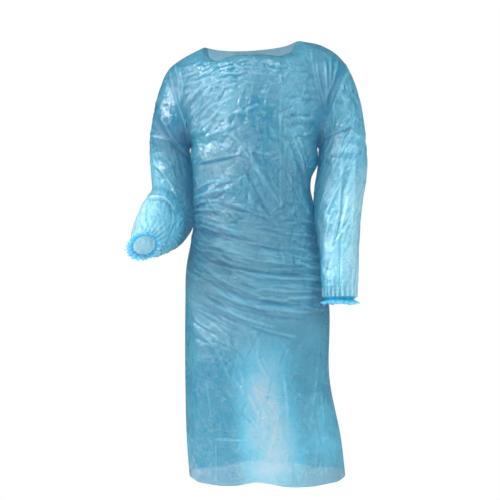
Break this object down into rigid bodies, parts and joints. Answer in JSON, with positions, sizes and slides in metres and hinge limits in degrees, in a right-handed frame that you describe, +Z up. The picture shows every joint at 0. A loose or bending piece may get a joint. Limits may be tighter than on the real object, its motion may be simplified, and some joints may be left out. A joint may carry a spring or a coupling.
{
  "type": "disposable protective smock",
  "caption": "Hollow worn-form smock of thin translucent plastic film: wide over-the-head neck, loose long sleeves with shirred elastic cuffs, drawn-in waist, calf-length skirt",
  "frame": {"origin": "at the base of the neck, midway between the shoulders, where the wearer's shoulders hold the smock up", "axes": "+Z is up, the front faces -Y, and +X is to the right of a viewer who looks at the front"},
  "size_m": [0.6174, 0.4064, 1.1524],
  "materials": {
    "body_film": "thin translucent pale blue polyethylene film, glossy and finely crinkled",
    "sleeve_film": "thin translucent pale blue polyethylene film, glossy and finely crinkled",
    "cuff_film": "the same film shirred over a thin elastic, with a small ruffle"
  },
  "bodies": {
    "root": {"front": "body_film", "back": "body_film", "sleeve_left": "sleeve_film", "sleeve_right": "sleeve_film", "cuff_left": "cuff_film", "cuff_right": "cuff_film"}
  },
  "joints": []
}
